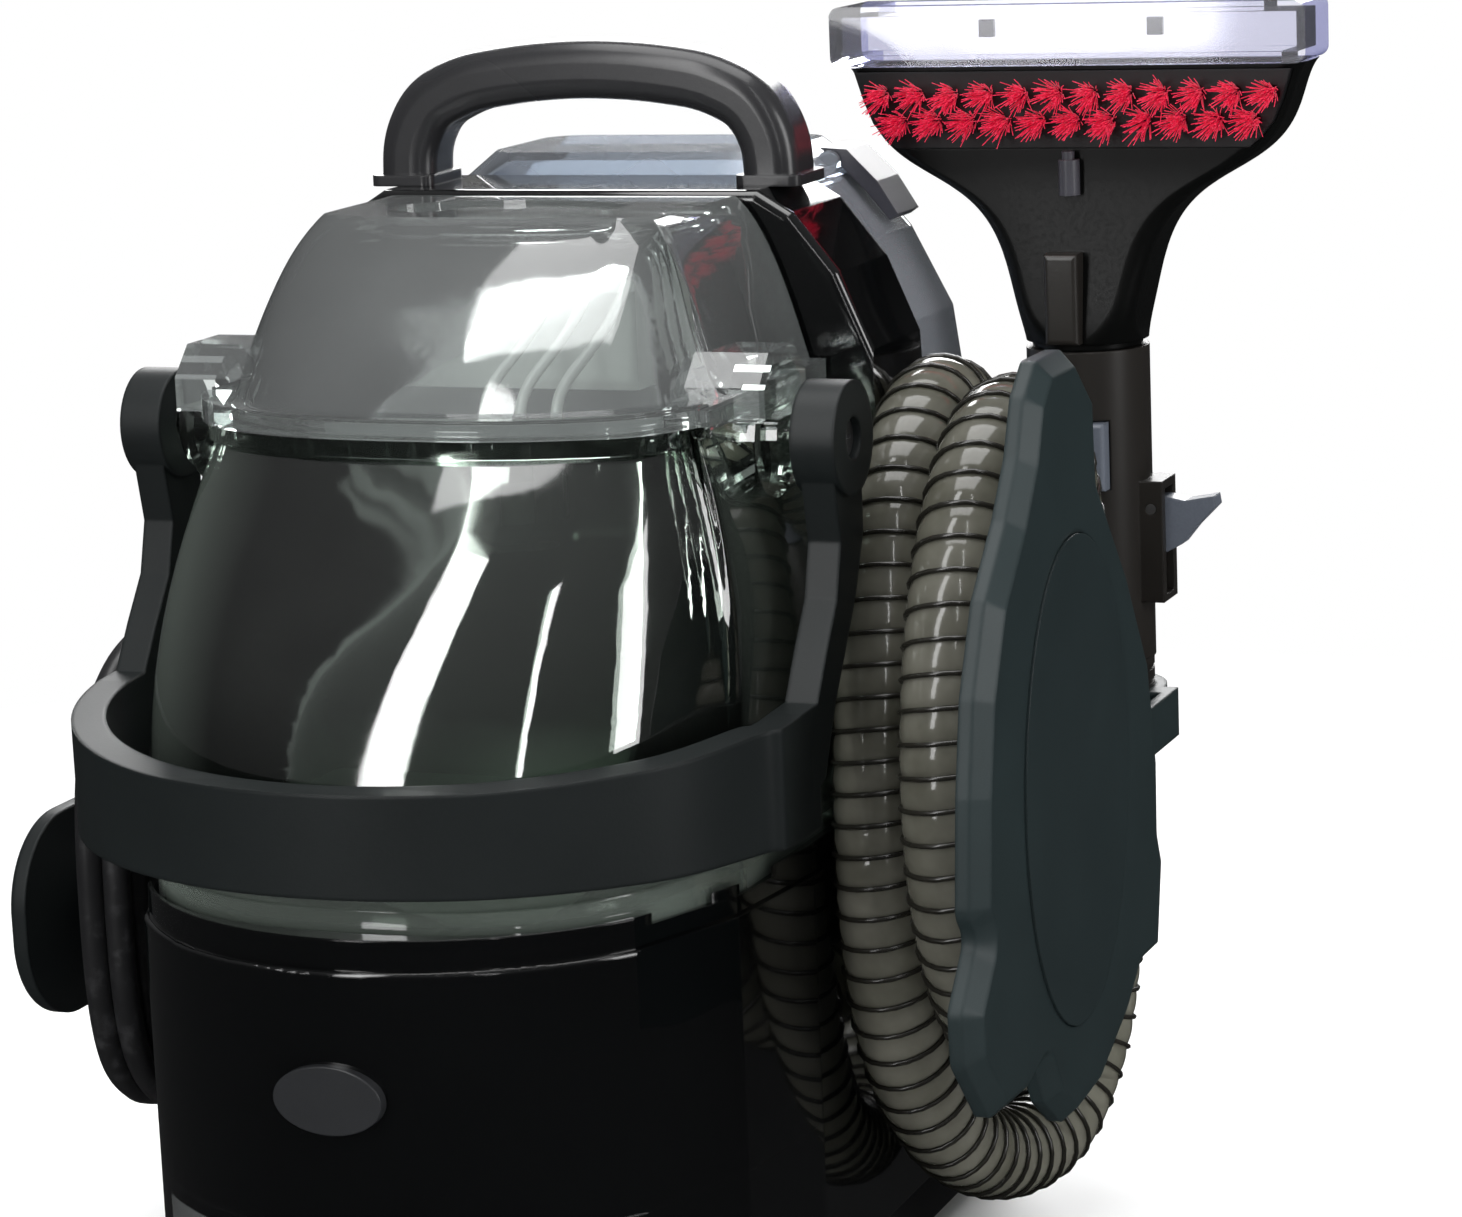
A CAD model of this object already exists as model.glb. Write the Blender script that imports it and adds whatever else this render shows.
import math
import random

import bpy
from mathutils import Matrix, Vector


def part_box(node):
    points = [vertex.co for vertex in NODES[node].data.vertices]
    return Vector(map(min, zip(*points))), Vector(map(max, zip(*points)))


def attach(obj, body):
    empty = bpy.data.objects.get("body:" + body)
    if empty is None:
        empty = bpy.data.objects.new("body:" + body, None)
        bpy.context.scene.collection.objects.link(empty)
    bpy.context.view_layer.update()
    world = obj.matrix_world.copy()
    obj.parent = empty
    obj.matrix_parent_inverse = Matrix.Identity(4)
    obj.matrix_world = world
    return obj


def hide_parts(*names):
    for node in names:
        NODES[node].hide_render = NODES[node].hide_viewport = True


# Looks for the portable carpet spot extractor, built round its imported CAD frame.
# Everything below is given in the body's own millimetres: x = 0 is the mid-plane, y = 0 the plane of the
# carry handle, -Y the front and z = 0 the floor.  at() turns such a point into the frame's metres.

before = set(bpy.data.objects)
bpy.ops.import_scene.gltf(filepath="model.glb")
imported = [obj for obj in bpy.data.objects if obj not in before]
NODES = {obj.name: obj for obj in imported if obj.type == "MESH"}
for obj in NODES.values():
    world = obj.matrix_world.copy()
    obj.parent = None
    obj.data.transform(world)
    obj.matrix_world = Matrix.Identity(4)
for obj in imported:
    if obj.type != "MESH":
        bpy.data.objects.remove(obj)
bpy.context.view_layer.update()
MM = 0.001

_handle_low, _handle_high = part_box("carry_handle")
ORIGIN = Vector(((_handle_low.x + _handle_high.x) / 2, (_handle_low.y + _handle_high.y) / 2, 0.0))


def at(x, y, z):
    return ORIGIN + Vector((x, y, z)) * MM


def points_at(points):
    return [at(*p) for p in points]


# ---------------------------------------------------------------- material building
class Look:
    """A node material under construction."""

    def __init__(self, name):
        self.material = bpy.data.materials.new(name)
        self.material.use_nodes = True
        self.tree = self.material.node_tree
        self.tree.nodes.clear()
        self.output = self.add("ShaderNodeOutputMaterial")
        self.coords = self.add("ShaderNodeTexCoord").outputs["Object"]

    def add(self, kind, values=None, **settings):
        node = self.tree.nodes.new(kind)
        for key, value in settings.items():
            setattr(node, key, value)
        for key, value in (values or {}).items():
            self.feed(node.inputs[key], value)
        return node

    def feed(self, socket, value):
        if isinstance(value, bpy.types.NodeSocket):
            self.tree.links.new(value, socket)
        else:
            socket.default_value = value

    def noise(self, scale, detail=3.0, roughness=0.55):
        node = self.add("ShaderNodeTexNoise", {"Vector": self.coords, "Scale": scale,
                                               "Detail": detail, "Roughness": roughness})
        return node.outputs["Fac"]

    def remap(self, value, low, high, from_low=0.3, from_high=0.7):
        node = self.add("ShaderNodeMapRange", {"Value": value, "From Min": from_low, "From Max": from_high,
                                               "To Min": low, "To Max": high})
        return node.outputs["Result"]

    def blend(self, factor, colour_a, colour_b):
        node = self.add("ShaderNodeMix", data_type="RGBA")
        self.feed(node.inputs[0], factor)
        self.feed(node.inputs[6], colour_a)
        self.feed(node.inputs[7], colour_b)
        return node.outputs[2]

    def bump(self, height, depth_mm, strength=0.5, normal=None):
        values = {"Height": height, "Distance": depth_mm * MM, "Strength": strength}
        if normal is not None:
            values["Normal"] = normal
        return self.add("ShaderNodeBump", values).outputs["Normal"]

    def soft_edges(self, radius_mm):
        return self.add("ShaderNodeBevel", {"Radius": radius_mm * MM}, samples=4).outputs["Normal"]

    def principled(self, values):
        return self.add("ShaderNodeBsdfPrincipled", values).outputs["BSDF"]

    def total(self, a, b):
        return self.add("ShaderNodeMath", {0: a, 1: b}, operation="ADD").outputs[0]

    def mix(self, factor, shader_a, shader_b):
        node = self.add("ShaderNodeMixShader", {0: factor, 1: shader_a, 2: shader_b})
        return node.outputs[0]

    def finish(self, shader):
        self.tree.links.new(shader, self.output.inputs["Surface"])
        return self.material


def rgb(r, g, b):
    return (r, g, b, 1.0)


def shade(colour, k):
    return rgb(*[min(1.0, c * k) for c in colour[:3]])


def moulded_plastic(name, colour, rough=0.45, grain_mm=0.8, grain_depth=0.05, edge=0.7, coat=0.0):
    """Textured or satin moulded plastic: fine grain, faint mottling, rounded edges."""
    look = Look(name)
    fine = look.noise(1.0 / (grain_mm * MM), 2.0, 0.6)
    mottle = look.noise(22.0, 4.0, 0.6)
    wide = look.noise(7.0, 2.0, 0.5)
    base = look.blend(look.remap(mottle, 0.0, 1.0), shade(colour, 0.86), shade(colour, 1.12))
    base = look.blend(look.remap(fine, 0.0, 0.35), base, shade(colour, 1.3))
    roughness = look.remap(wide, rough - 0.05, rough + 0.06)
    normal = look.bump(fine, grain_depth, 0.45, look.soft_edges(edge) if edge else None)
    return look.finish(look.principled({
        "Base Color": base, "Roughness": roughness, "Normal": normal, "IOR": 1.49,
        "Specular IOR Level": 0.30, "Coat Weight": coat, "Coat Roughness": 0.18}))


def gloss_plastic(name, colour, rough=0.09, edge=1.0, coat=0.6, shine=0.5):
    """Piano-gloss plastic with faint waviness and a little dust in the gloss."""
    look = Look(name)
    wave = look.noise(30.0, 2.0, 0.4)
    dust = look.noise(900.0, 5.0, 0.7)
    base = look.blend(look.remap(look.noise(12.0), 0.0, 1.0), shade(colour, 0.85), shade(colour, 1.2))
    roughness = look.remap(dust, rough - 0.03, rough + 0.09, 0.45, 0.75)
    normal = look.bump(wave, 0.08, 0.18, look.soft_edges(edge))
    return look.finish(look.principled({
        "Base Color": base, "Roughness": roughness, "Normal": normal, "IOR": 1.5,
        "Specular IOR Level": shine, "Coat Weight": coat, "Coat Roughness": 0.04}))


def clear_plastic(name, through, edge_tint, haze=0.04, rough=0.03, ior=1.46, haze_colour=(0.8, 0.84, 0.84),
                  edge_haze=0.0, rim=None):
    """Thin clear moulded plastic: straight view through, fresnel gloss, deeper tint at grazing angles.

    edge_haze is the milkiness of the wall seen edge-on; rim = (low, high, haze) makes the lower edge milky too.
    """
    look = Look(name)
    ripple = look.bump(look.noise(14.0, 1.0, 0.4), 0.12, 0.05)
    facing = look.add("ShaderNodeLayerWeight", {"Blend": 0.32, "Normal": ripple}).outputs["Facing"]
    tint = look.blend(facing, rgb(*through), rgb(*edge_tint))
    glass = look.add("ShaderNodeBsdfTransparent", {"Color": tint}).outputs["BSDF"]
    smear = look.noise(18.0, 2.0, 0.5)
    veil = look.principled({
        "Base Color": rgb(*haze_colour), "Roughness": 0.35, "Normal": ripple, "IOR": ior})
    cloud = look.remap(smear, haze * 0.93, haze * 1.07)
    if edge_haze:
        edge_on = look.remap(facing, 0.0, edge_haze, 0.25, 0.95)
        cloud = look.total(cloud, edge_on)
    if rim:
        low, high, milk = rim
        height = look.add("ShaderNodeSeparateXYZ", {0: look.coords}).outputs["Z"]
        band = look.remap(height, milk, 0.0, low, high)
        cloud = look.total(cloud, band)
    body = look.mix(cloud, glass, veil)
    gloss = look.add("ShaderNodeBsdfGlossy", {
        "Color": rgb(1, 1, 1), "Roughness": look.remap(smear, rough, rough + 0.05), "Normal": ripple})
    fresnel = look.add("ShaderNodeFresnel", {"IOR": ior, "Normal": ripple}).outputs["Fac"]
    return look.finish(look.mix(fresnel, body, gloss.outputs["BSDF"]))


def rubber(name, colour, rough=0.6, depth=0.04):
    look = Look(name)
    fine = look.noise(1800.0, 3.0, 0.6)
    base = look.blend(look.remap(look.noise(35.0), 0.0, 1.0), shade(colour, 0.8), shade(colour, 1.3))
    return look.finish(look.principled({
        "Base Color": base, "Roughness": look.remap(fine, rough - 0.06, rough + 0.08),
        "Normal": look.bump(fine, depth, 0.4, look.soft_edges(0.4))}))


def metal(name, colour, rough=0.3):
    look = Look(name)
    brushed = look.noise(2200.0, 2.0, 0.5)
    return look.finish(look.principled({
        "Base Color": look.blend(look.remap(look.noise(160.0), 0.0, 1.0), shade(colour, 0.8), colour),
        "Metallic": 1.0, "Roughness": look.remap(brushed, rough - 0.08, rough + 0.12),
        "Normal": look.bump(brushed, 0.01, 0.3, look.soft_edges(0.3))}))


def cord_jacket(name):
    """Black mains-lead jacket: satin, very fine grain, faint scuffs."""
    look = Look(name)
    scuff = look.noise(120.0, 5.0, 0.7)
    base = look.blend(look.remap(scuff, 0.0, 1.0, 0.55, 0.8), rgb(0.012, 0.012, 0.013), rgb(0.045, 0.045, 0.048))
    return look.finish(look.principled({
        "Base Color": base, "Roughness": look.remap(scuff, 0.3, 0.46),
        "Normal": look.bump(look.noise(3000.0), 0.02, 0.3)}))


def hose_wall(name):
    """Translucent smoke-grey vinyl between the reinforcing ribs."""
    look = Look(name)
    cloud = look.noise(45.0, 4.0, 0.6)
    base = look.blend(look.remap(cloud, 0.0, 1.0), rgb(0.13, 0.128, 0.10), rgb(0.27, 0.264, 0.22))
    fine = look.bump(look.noise(260.0, 3.0, 0.6), 0.12, 0.25)
    skin = look.principled({"Base Color": base, "Roughness": look.remap(cloud, 0.12, 0.24), "Normal": fine,
                            "Coat Weight": 1.0, "Coat Roughness": 0.06, "IOR": 1.5})
    glow = look.add("ShaderNodeBsdfTranslucent", {"Color": rgb(0.30, 0.30, 0.25)}).outputs["BSDF"]
    glass = look.add("ShaderNodeBsdfTransparent", {"Color": rgb(0.62, 0.62, 0.55)}).outputs["BSDF"]
    body = look.mix(0.25, skin, glow)
    facing = look.add("ShaderNodeLayerWeight", {"Blend": 0.4}).outputs["Facing"]
    see = look.remap(facing, 0.30, 0.05, 0.0, 0.8)
    return look.finish(look.mix(see, body, glass))


def bristle_fibre(name):
    look = Look(name)
    base = look.blend(look.remap(look.noise(700.0), 0.0, 1.0), rgb(0.52, 0.003, 0.035), rgb(0.95, 0.012, 0.09))
    return look.finish(look.principled({
        "Base Color": base, "Roughness": 0.38, "Sheen Weight": 0.3,
        "Emission Color": rgb(0.9, 0.006, 0.075), "Emission Strength": 0.22}))


_tank_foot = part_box("recovery_tank")[0].z
TANK_RIM = (_tank_foot + 0.005, _tank_foot + 0.020, 0.27)

LOOKS = {
    "gloss_black": gloss_plastic("gloss_black_panel", rgb(0.0022, 0.0024, 0.0026)),
    "charcoal": moulded_plastic("charcoal_grain", rgb(0.0098, 0.0124, 0.0127), 0.42, 0.7, 0.05, 1.4),
    "handle": moulded_plastic("handle_grain", rgb(0.024, 0.024, 0.026), 0.28, 0.6, 0.04, 1.0, 0.35),
    "black_tray": moulded_plastic("tray_black", rgb(0.007, 0.0072, 0.008), 0.5, 0.9, 0.05, 0.8),
    "rack": moulded_plastic("rack_green_grey", rgb(0.017, 0.027, 0.0285), 0.42, 0.6, 0.04, 1.6),
    "inlay": moulded_plastic("rack_inlay_grey", rgb(0.0165, 0.0255, 0.027), 0.38, 0.5, 0.02, 0.6),
    "wand": moulded_plastic("wand_brown", rgb(0.017, 0.0150, 0.0132), 0.34, 0.7, 0.03, 0.8, 0.25),
    "latch": moulded_plastic("latch_grey", rgb(0.055, 0.055, 0.066), 0.35, 0.6, 0.02, 0.6, 0.2),
    "trigger": moulded_plastic("trigger_blue_grey", rgb(0.12, 0.135, 0.165), 0.33, 0.6, 0.02, 0.9, 0.2),
    "badge": moulded_plastic("badge_grey", rgb(0.022, 0.023, 0.025), 0.3, 0.5, 0.01, 0.3),
    "tool": gloss_plastic("tool_black", rgb(0.0030, 0.0032, 0.0031), 0.34, 0.8, 0.0, 0.16),
    "brush": moulded_plastic("brush_black", rgb(0.008, 0.008, 0.009), 0.45, 0.6, 0.03, 0.5),
    "tank_clear": clear_plastic("tank_smoke_clear", (0.80, 0.85, 0.81), (0.42, 0.50, 0.45), 0.008, 0.015, 1.85,
                                (0.50, 0.60, 0.52), 0.30, TANK_RIM),
    "lid_clear": clear_plastic("lid_clear", (0.95, 0.97, 0.96), (0.52, 0.60, 0.58), 0.12, 0.02, 1.62),
    "rib_clear": clear_plastic("rib_clear", (0.80, 0.82, 0.82), (0.30, 0.33, 0.33), 0.85, 0.04, 1.7,
                               (0.95, 0.95, 0.93)),
    "baffle_clear": clear_plastic("baffle_frosted", (0.90, 0.92, 0.91), (0.62, 0.66, 0.66), 0.48, 0.05, 1.46,
                                  (0.93, 0.95, 0.92)),
    "cage_clear": clear_plastic("cage_clear", (0.50, 0.54, 0.52), (0.25, 0.29, 0.27), 0.02, 0.05),
    "blue_clear": clear_plastic("clean_tank_clear", (0.90, 0.94, 0.98), (0.55, 0.63, 0.78), 0.26, 0.04, 1.46,
                                (0.82, 0.88, 0.98)),
    "mouth_clear": clear_plastic("tool_window_clear", (0.93, 0.93, 0.97), (0.26, 0.28, 0.74), 0.07, 0.03, 1.5,
                                 (0.92, 0.93, 1.0)),
    "window_clear": clear_plastic("front_window_clear", (0.55, 0.62, 0.58), (0.28, 0.34, 0.31), 0.10, 0.05),
    "seal": rubber("seal_grey", rgb(0.16, 0.17, 0.17), 0.5),
    "foot": rubber("foot_rubber", rgb(0.02, 0.02, 0.021), 0.75),
    "relief": rubber("relief_black", rgb(0.016, 0.016, 0.017), 0.5),
    "screw": metal("screw_steel", rgb(0.33, 0.33, 0.34), 0.35),
    "steel": metal("motor_steel", rgb(0.5, 0.5, 0.5), 0.35),
    "aluminium": metal("fan_aluminium", rgb(0.75, 0.76, 0.77), 0.3),
    "brass": metal("pin_brass", rgb(0.80, 0.65, 0.32), 0.2),
    "float": moulded_plastic("float_grey", rgb(0.05, 0.052, 0.05), 0.4, 0.8, 0.01, 0.5),
    "tube": moulded_plastic("tube_milk", rgb(0.6, 0.62, 0.62), 0.35, 0.8, 0.01, 0.3),
    "cord": cord_jacket("cord_black"),
    "hose": hose_wall("hose_smoke"),
    "hose_rib": moulded_plastic("hose_rib_dark", rgb(0.016, 0.015, 0.012), 0.25, 0.5, 0.01, 0.0, 0.5),
    "bristle": bristle_fibre("bristle_red"),
}

CAD_LOOKS = {
    "base_tray": "black_tray", "rubber_feet": "foot", "front_frame": "gloss_black", "front_window": "window_clear",
    "front_fascia": "gloss_black", "fascia_badge": "badge", "side_panel_left": "gloss_black",
    "side_panel_right": "gloss_black", "rear_housing": "black_tray", "tank_deck": "gloss_black",
    "bulkhead": "gloss_black", "carry_handle": "handle", "recovery_tank": "tank_clear",
    "recovery_lid": "lid_clear", "lid_gasket": "seal", "baffle_box": "baffle_clear",
    "separator_ducts": "rib_clear", "float_cage": "cage_clear", "float_ball": "float",
    "bail_handle": "charcoal", "pivot_screws": "screw", "clean_tank": "blue_clear",
    "clean_tank_cap": "black_tray", "tank_valve": "seal", "clean_tank_latch": "latch",
    "motor_housing": "black_tray", "suction_motor": "steel", "fan_impeller": "aluminium", "pump": "black_tray",
    "supply_tube": "tube", "power_switch": "latch", "switch_bezel": "black_tray", "hose_rack_hub": "rack",
    "hose_rack_plate": "rack", "rack_inlay": "inlay", "rack_screws": "screw", "hose_cuff": "relief",
    "suction_hose": "hose", "wand_grip": "wand", "wand_collar": "wand", "wand_clip": "rack",
    "trigger": "trigger", "trigger_pin": "screw", "release_button": "trigger", "tool_body": "tool",
    "tool_latch": "wand", "brush_block": "brush", "bristle_tufts": "bristle", "nozzle_window": "mouth_clear",
    "window_clips": "latch", "spray_tip": "latch", "cord_wrap_hub": "black_tray",
    "cord_wrap_flange": "charcoal", "cord_coil": "cord", "cord_feed": "cord", "cord_tail": "cord",
    "strain_relief": "relief", "plug_body": "cord", "plug_pins": "brass", "case_screws": "screw",
}


def dress(obj, look):
    """Give an object one material, whatever slots it came with."""
    if not obj.material_slots:
        obj.data.materials.append(None)
    for slot in obj.material_slots:
        slot.link = "OBJECT"
        slot.material = LOOKS[look]


SHARP_FROM = math.radians(24)

for node_name, look_name in CAD_LOOKS.items():
    dress(NODES[node_name], look_name)
    NODES[node_name].data.shade_smooth()
    NODES[node_name].data.set_sharp_from_angle(angle=SHARP_FROM)


# ---------------------------------------------------------------- mesh helpers
def mesh_piece(name, verts, faces, look, body):
    mesh = bpy.data.meshes.new(name)
    mesh.from_pydata([tuple(v) for v in verts], [], faces)
    mesh.validate()
    mesh.shade_smooth()
    obj = bpy.data.objects.new(name, mesh)
    bpy.context.scene.collection.objects.link(obj)
    mesh.materials.append(LOOKS[look])
    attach(obj, body)
    return obj


def ring_faces(rows, columns, cap=True, start=0):
    """Faces that join rows of ring vertices into a tube, its ends capped if asked."""
    faces = []
    for i in range(rows - 1):
        for j in range(columns):
            a = start + i * columns + j
            b = start + i * columns + (j + 1) % columns
            faces.append((a, b, b + columns, a + columns))
    if cap:
        faces.append(tuple(reversed([start + j for j in range(columns)])))
        faces.append(tuple(start + (rows - 1) * columns + j for j in range(columns)))
    return faces


def frames_along(path):
    """Tangent and two cross directions at each point, carried along without twist."""
    tangents = []
    for i in range(len(path)):
        a, b = path[max(i - 1, 0)], path[min(i + 1, len(path) - 1)]
        tangents.append((b - a).normalized())
    side = tangents[0].orthogonal().normalized()
    out = []
    for t in tangents:
        side = (side - t * side.dot(t)).normalized()
        out.append((t, side, t.cross(side)))
    return out


def tube_rings(path, radius, columns):
    """Vertices of a round tube; radius is a function of (index, angle)."""
    verts = []
    for i, (p, (_, u, v)) in enumerate(zip(path, frames_along(path))):
        for j in range(columns):
            a = 2 * math.pi * j / columns
            verts.append(p + (u * math.cos(a) + v * math.sin(a)) * radius(i, a))
    return verts


def spline_points(name, points, resolution):
    """Points read along a NURBS spline whose control points are given in metres."""
    curve = bpy.data.curves.new(name, "CURVE")
    curve.dimensions = "3D"
    spline = curve.splines.new("NURBS")
    spline.points.add(len(points) - 1)
    for control, p in zip(spline.points, points):
        control.co = (p[0], p[1], p[2], 1.0)
    spline.order_u = 3
    spline.use_endpoint_u = True
    spline.resolution_u = resolution
    curve.resolution_u = resolution
    obj = bpy.data.objects.new(name, curve)
    mesh = bpy.data.meshes.new_from_object(obj)
    found = [v.co.copy() for v in mesh.vertices]
    bpy.data.meshes.remove(mesh)
    bpy.data.objects.remove(obj)
    bpy.data.curves.remove(curve)
    return found


SLIVER = 0.3


def spaced(path, step):
    """The same line with points a fixed distance apart, ends kept, the last gap never a sliver."""
    out, carry = [path[0].copy()], 0.0
    for a, b in zip(path, path[1:]):
        length = (b - a).length
        d = step - carry
        while d <= length:
            out.append(a.lerp(b, d / length))
            d += step
        carry = length - (d - step)
    if (out[-1] - path[-1]).length > step * SLIVER:
        out.append(path[-1].copy())
    else:
        out[-1] = path[-1].copy()
    return out


def line_length(path):
    return sum((b - a).length for a, b in zip(path, path[1:]))


# ---------------------------------------------------------------- camera
CAMERA_AZIMUTH, CAMERA_PITCH, CAMERA_ROLL = math.radians(22.0), math.radians(11.5), math.radians(-2.38)
CAMERA_DISTANCE = 1150.0
CAMERA_TARGET = (59.49, -60.0, 197.73)
SENSOR = 36.0
FOCAL_PER_WIDTH = 2.9497


def make_camera():
    a, e = CAMERA_AZIMUTH, CAMERA_PITCH
    back = Vector((math.sin(a) * math.cos(e), -math.cos(a) * math.cos(e), math.sin(e)))
    right = (-back).cross(Vector((0, 0, 1))).normalized()
    up = right.cross(-back)
    c, s = math.cos(CAMERA_ROLL), math.sin(CAMERA_ROLL)
    right, up = right * c + up * s, up * c - right * s
    data = bpy.data.cameras.new("camera")
    data.sensor_width = SENSOR
    data.sensor_fit = "HORIZONTAL"
    data.lens = SENSOR * FOCAL_PER_WIDTH
    camera = bpy.data.objects.new("camera", data)
    bpy.context.scene.collection.objects.link(camera)
    turn = Matrix((right, up, back)).transposed().to_4x4()
    camera.matrix_world = Matrix.Translation(at(*CAMERA_TARGET) + back * CAMERA_DISTANCE * MM) @ turn
    bpy.context.scene.camera = camera


make_camera()


# ---------------------------------------------------------------- suction hose
HOSE_D = 27.0
HOSE_PITCH = 8.0          # one turn of the reinforcing rib
HOSE_RING_STEP = 1.0      # distance between the wall's rings
HOSE_COLUMNS = 28
HOSE_POINTS = [
    (130.8, 8, 182), (130.8, 8, 208), (130.8, -9, 239), (130.8, -42, 248), (130.8, -68, 231),
    (130.8, -86, 202), (130.8, -94, 166), (130.8, -90, 128), (130.8, -72, 96), (128, -42, 78),
    (116, -8, 76), (105, 19, 90), (103, 32.5, 119), (103, 36.8, 157), (103, 34, 196), (103, 20, 230),
    (103, -8, 250), (103, -36, 238), (103, -56, 210), (103, -66, 174), (103, -69, 138),
    (103, -66, 104), (104, -55, 73), (107, -34, 46), (111, -2, 29), (116, 31, 27), (120, 53, 46),
    (122, 61, 72), (123, 62, 99), (123, 62, 126)]
WALL_R = HOSE_D / 2 - 1.05
WALL_BELLY = 0.75
RIB_R = 0.72
RIB_LINE_R = HOSE_D / 2 - 0.75
RIB_STEPS_PER_TURN = 22
RIB_COLUMNS = 6


def suction_hose():
    """Corrugated hose: a translucent wall that bellies between the turns of a dark reinforcing rib."""
    path = spaced(spline_points("hose_route", points_at(HOSE_POINTS), 24), HOSE_RING_STEP * MM)

    def radius(i, angle):
        phase = (i * HOSE_RING_STEP / HOSE_PITCH - angle / (2 * math.pi)) % 1.0
        belly = math.sin(math.pi * phase) ** 0.6
        return (WALL_R + WALL_BELLY * (belly - 0.6)) * MM

    hose = mesh_piece("hose_wall", tube_rings(path, radius, HOSE_COLUMNS),
                      ring_faces(len(path), HOSE_COLUMNS, cap=False), "hose", "machine")
    turns = line_length(path) / (HOSE_PITCH * MM)
    frames = frames_along(path)
    helix = []
    for k in range(int(turns * RIB_STEPS_PER_TURN)):
        turn = k / RIB_STEPS_PER_TURN
        s = turn * HOSE_PITCH / HOSE_RING_STEP
        i = min(int(s), len(path) - 2)
        a = 2 * math.pi * turn
        _, u, v = frames[i]
        centre = path[i].lerp(path[i + 1], min(s - i, 1.0))
        helix.append(centre + (u * math.cos(a) + v * math.sin(a)) * RIB_LINE_R * MM)
    rib = mesh_piece("hose_rib", tube_rings(helix, lambda i, a: RIB_R * MM, RIB_COLUMNS),
                     ring_faces(len(helix), RIB_COLUMNS), "hose_rib", "machine")
    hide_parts("suction_hose")


suction_hose()


# ---------------------------------------------------------------- mains lead
CORD_D = 8.0
WRAP_Y, WRAP_Z = -40.0, 116.0
COIL_HALF_Y, COIL_HALF_Z, COIL_CORNER = 63.0, 74.0, 50.0
COIL_NEAR_X, COIL_FAR_X = -98.2, -123.8
TURN_STEP = 8.3           # from one turn to the next across the hub
LAYER_STEP = 8.4          # from one layer to the next
FIRST_LAYER_INSET = 29.6
LAST_INSET = 4.4
START_INSET = 5.0
START_TURN = 0.65         # the lead reaches the near side after this share of a turn
LAYERS = 4
POINTS_PER_TURN = 20
LEAD_RING_STEP = 3.0
LEAD_COLUMNS = 12
FEED_POINTS = [
    (52, 96.5, 32), (52, 122, 32), (38, 142, 22), (10, 150, 11), (-22, 146, 5.5), (-54, 134, 5),
    (-82, 114, 7), (-100, 88, 15), (-104, 62, 28), (-100, 38, 38)]
TAIL_POINTS = [
    (-118, 24, 40), (-129, 46, 22), (-135, 74, 8), (-141, 106, 5), (-138, 136, 6.5),
    (-130, 150, 8), (-130, 168, 8)]


FLAT_SHARE = 0.25         # how much of the turn the oval's straight sides take


def coil_outline(inset, turn):
    """Point (y, z) on a rounded oval, a share of a turn on from its lower rear corner."""
    half_y, half_z = COIL_HALF_Y - inset, COIL_HALF_Z - inset
    corner = COIL_CORNER - inset
    a = -math.pi / 4 - 2 * math.pi * turn
    c, s = math.cos(a), math.sin(a)
    y = (half_y - corner) * max(-1.0, min(1.0, c / FLAT_SHARE))
    z = (half_z - corner) * max(-1.0, min(1.0, s / FLAT_SHARE))
    return WRAP_Y + y + corner * c, WRAP_Z + z + corner * s


def between(keys, t):
    """Value at t on the broken line through (t, value) keys."""
    for (t0, v0), (t1, v1) in zip(keys, keys[1:]):
        if t <= t1:
            return v0 + (v1 - v0) * (t - t0) / (t1 - t0)
    return keys[-1][1]


def coil_points():
    """Turns of the wound lead: in along the near side, then out layer by layer."""
    width = (COIL_NEAR_X - COIL_FAR_X) / TURN_STEP
    upper = width - 1.0
    turns = [START_TURN, START_TURN + width]
    while len(turns) <= LAYERS:
        turns.append(turns[-1] + upper)
    across = [(0.0, COIL_NEAR_X), (turns[0], COIL_NEAR_X), (turns[1], COIL_FAR_X),
              (turns[2], COIL_NEAR_X - TURN_STEP), (turns[3], COIL_FAR_X),
              (turns[4], COIL_NEAR_X - TURN_STEP)]
    deep = [(0.0, START_INSET), (turns[0], FIRST_LAYER_INSET)]
    for layer, t in enumerate(turns[1:LAYERS]):
        inset = FIRST_LAYER_INSET - LAYER_STEP * layer
        deep += [(t - 0.1, inset), (t + 0.35, inset - LAYER_STEP)]
    deep.append((turns[LAYERS], LAST_INSET))
    out = []
    for k in range(int(turns[LAYERS] * POINTS_PER_TURN) + 1):
        t = k / POINTS_PER_TURN
        y, z = coil_outline(between(deep, t), t)
        out.append((between(across, t), y, z))
    return out


def mains_lead():
    route = points_at(FEED_POINTS + coil_points() + TAIL_POINTS)
    path = spaced(spline_points("lead_route", route, 8), LEAD_RING_STEP * MM)
    lead = mesh_piece("mains_lead", tube_rings(path, lambda i, a: CORD_D / 2 * MM, LEAD_COLUMNS),
                      ring_faces(len(path), LEAD_COLUMNS), "cord", "machine")
    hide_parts("cord_coil", "cord_feed", "cord_tail")


mains_lead()


# ---------------------------------------------------------------- brush bristles
WAND_X, WAND_Y = 123.0, 62.0
TUFT_X = WAND_X + 1.2
TUFT_STEP = 10.2
UPPER_ROW, LOWER_ROW = (12, 324.0), (11, 316.5)      # tufts in the row, height
FIBRES_PER_TUFT = 95
FIBRE_LENGTH = 10.4
FIBRE_R = 0.20
TUFT_R = 1.7
FIBRE_SHARES = (0.0, 0.5, 1.0)                       # the fibre's rings, from root to tip
FIBRE_SIDES = 3


def tuft_places():
    return [(TUFT_X + (i - (count - 1) / 2) * TUFT_STEP, z)
            for count, z in (UPPER_ROW, LOWER_ROW) for i in range(count)]


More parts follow.
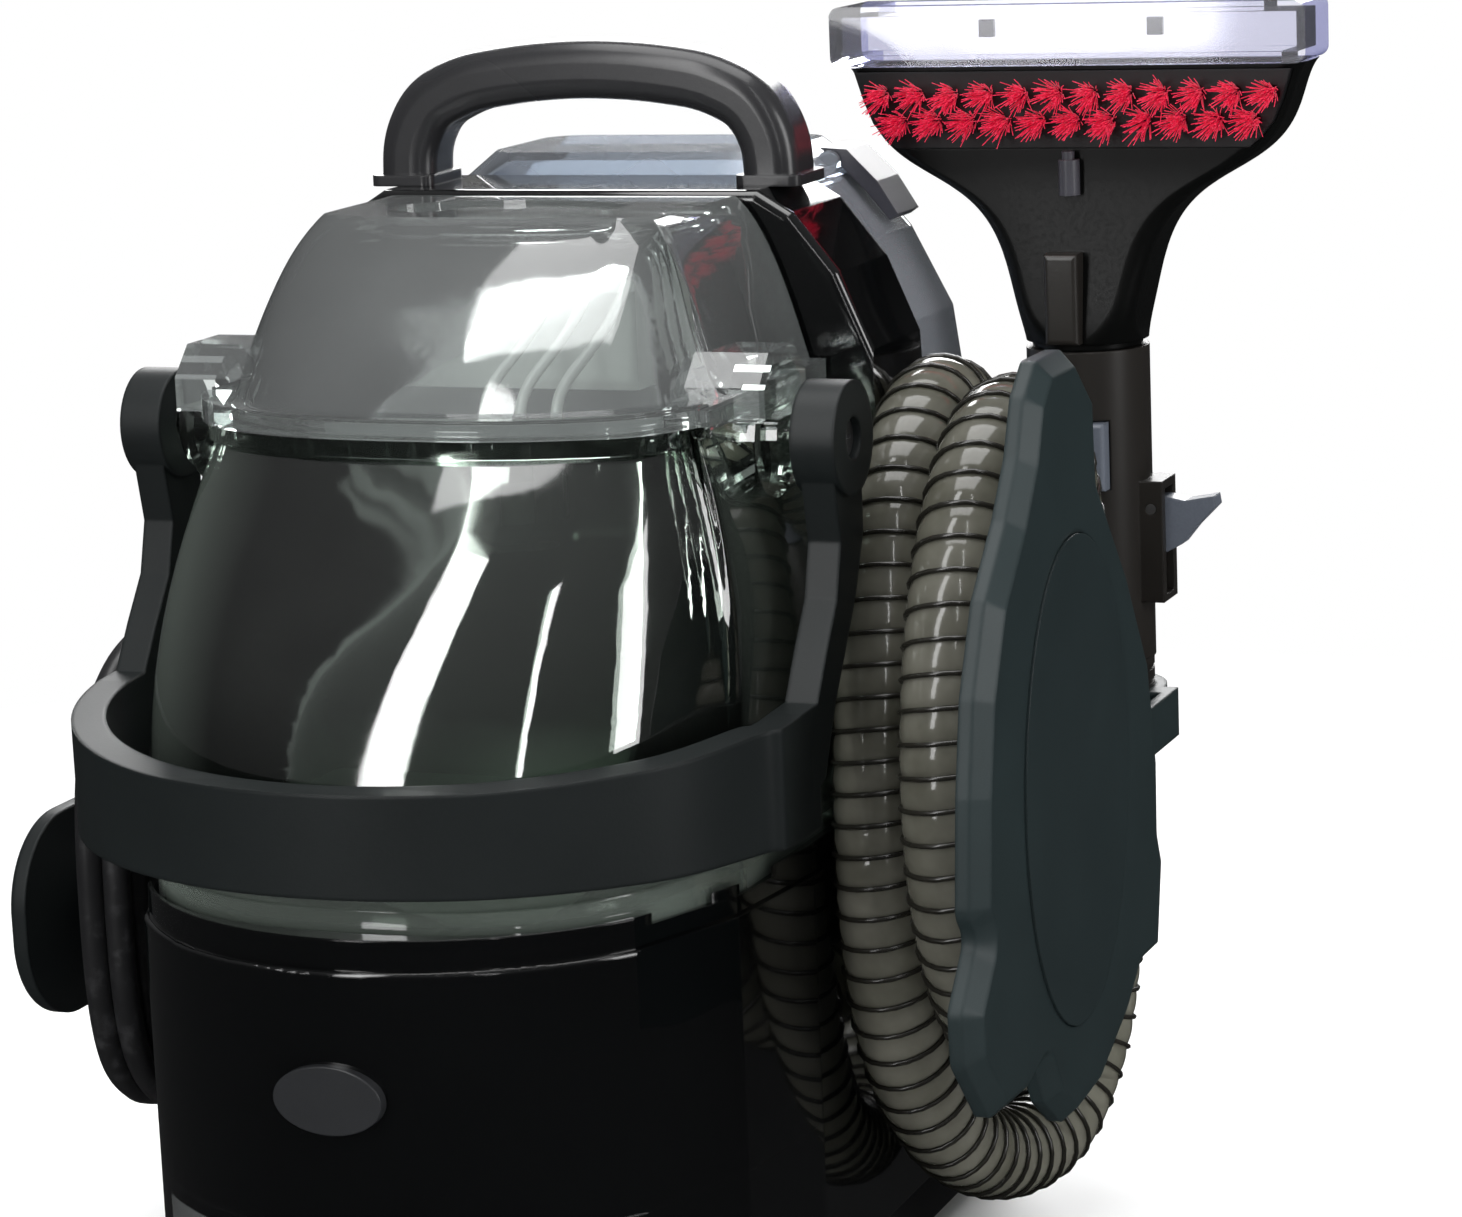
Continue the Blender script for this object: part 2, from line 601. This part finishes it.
def bristles():
    """Bundles of red fibres that fan out of the brush block."""
    rng = random.Random(7)
    verts, faces = [], []
    root_y = WAND_Y - 11.2
    for x, z in tuft_places():
        for _ in range(FIBRES_PER_TUFT):
            r, a = TUFT_R * math.sqrt(rng.random()), rng.random() * 2 * math.pi
            spread = 1.0 + 1.55 * rng.random()
            lean_x, lean_z = rng.gauss(0, 0.55), rng.gauss(0, 0.55)
            reach = FIBRE_LENGTH * rng.uniform(0.86, 1.0)
            dx, dz = r * math.cos(a), r * math.sin(a)
            base = len(verts)
            for share in FIBRE_SHARES:
                cx = x + dx * (1 + spread * share) + lean_x * share ** 1.5
                cz = z + dz * (1 + spread * share) + lean_z * share ** 1.5 - 0.5 * share ** 2
                thick = FIBRE_R * (1 - 0.35 * share)
                for j in range(FIBRE_SIDES):
                    b = 2 * math.pi * j / FIBRE_SIDES + a
                    verts.append(at(cx + thick * math.cos(b), root_y - reach * share, cz + thick * math.sin(b)))
            faces += ring_faces(len(FIBRE_SHARES), FIBRE_SIDES, start=base)
    tufts = mesh_piece("bristle_fibres", verts, faces, "bristle", "tool")
    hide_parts("bristle_tufts")


bristles()


# ---------------------------------------------------------------- studio
# name, place, what it points at (mm), width and height (m), power (W)
LIGHTS = [
    ("key_left", (-390, -1400, 1000), (0, -80, 190), (0.32, 1.9), 15),
    ("strip_right", (720, -1200, 900), (20, -80, 190), (0.05, 1.3), 2.2),
    ("fill_right", (1300, -300, 600), (60, -40, 180), (0.4, 0.9), 7),
    ("top", (0, -100, 1500), (0, -40, 200), (1.0, 1.0), 13),
    ("rim_back", (-300, 1300, 900), (0, 0, 220), (1.2, 0.8), 24),
]
FLOOR_HALF = 3.0
FLOOR_LIT, FLOOR_GLOW = 0.35, 0.85                   # radii between which the paper turns into plain white
SKY_DARK, SKY_BRIGHT = (-0.1, 0.02), (0.95, 0.25)    # height on the unit sphere, strength


def area_light(name, place, target, size, power):
    data = bpy.data.lights.new(name, "AREA")
    data.shape = "RECTANGLE"
    data.size, data.size_y = size
    data.energy = power
    light = bpy.data.objects.new(name, data)
    bpy.context.scene.collection.objects.link(light)
    spot, aim = at(*place), at(*target)
    light.location = spot
    light.rotation_mode = "QUATERNION"
    light.rotation_quaternion = (aim - spot).to_track_quat("-Z", "Y")


def sky():
    """Soft light from above that fades to dark below; the backdrop itself is plain white."""
    world = bpy.data.worlds.new("studio")
    bpy.context.scene.world = world
    world.use_nodes = True
    tree = world.node_tree
    tree.nodes.clear()
    out = tree.nodes.new("ShaderNodeOutputWorld")
    coords = tree.nodes.new("ShaderNodeTexCoord")
    split = tree.nodes.new("ShaderNodeSeparateXYZ")
    ramp = tree.nodes.new("ShaderNodeMapRange")
    ramp.inputs["From Min"].default_value, ramp.inputs["To Min"].default_value = SKY_DARK
    ramp.inputs["From Max"].default_value, ramp.inputs["To Max"].default_value = SKY_BRIGHT
    ambient = tree.nodes.new("ShaderNodeBackground")
    ambient.inputs["Color"].default_value = (0.97, 0.985, 1.0, 1)
    seen = tree.nodes.new("ShaderNodeBackground")
    seen.inputs["Color"].default_value = (1, 1, 1, 1)
    seen.inputs["Strength"].default_value = 1.0
    path = tree.nodes.new("ShaderNodeLightPath")
    mix = tree.nodes.new("ShaderNodeMixShader")
    for source, target in (
            (coords.outputs["Generated"], split.inputs[0]), (split.outputs["Z"], ramp.inputs["Value"]),
            (ramp.outputs["Result"], ambient.inputs["Strength"]), (path.outputs["Is Camera Ray"], mix.inputs[0]),
            (ambient.outputs[0], mix.inputs[1]), (seen.outputs[0], mix.inputs[2]),
            (mix.outputs[0], out.inputs["Surface"])):
        tree.links.new(source, target)


def floor():
    look = Look("floor_paper")
    paper = look.blend(look.remap(look.noise(14.0), 0.0, 1.0), rgb(0.90, 0.90, 0.90), rgb(0.93, 0.93, 0.93))
    lit = look.principled({"Base Color": paper, "Roughness": 0.6})
    glow = look.add("ShaderNodeEmission", {"Color": rgb(1, 1, 1), "Strength": 1.0}).outputs["Emission"]
    reach = look.add("ShaderNodeVectorMath", {0: look.coords}, operation="LENGTH").outputs["Value"]
    white = look.remap(reach, 0.0, 1.0, FLOOR_LIT, FLOOR_GLOW)
    mesh = bpy.data.meshes.new("floor")
    mesh.from_pydata([(-FLOOR_HALF, -FLOOR_HALF, 0), (FLOOR_HALF, -FLOOR_HALF, 0), (FLOOR_HALF, FLOOR_HALF, 0),
                      (-FLOOR_HALF, FLOOR_HALF, 0)], [], [(0, 1, 2, 3)])
    mesh.materials.append(look.finish(look.mix(white, lit, glow)))
    floor = bpy.data.objects.new("floor", mesh)
    bpy.context.scene.collection.objects.link(floor)
    floor.visible_glossy = False


bpy.context.scene.view_settings.view_transform = "Standard"
sky()
floor()
for light_row in LIGHTS:
    area_light(*light_row)
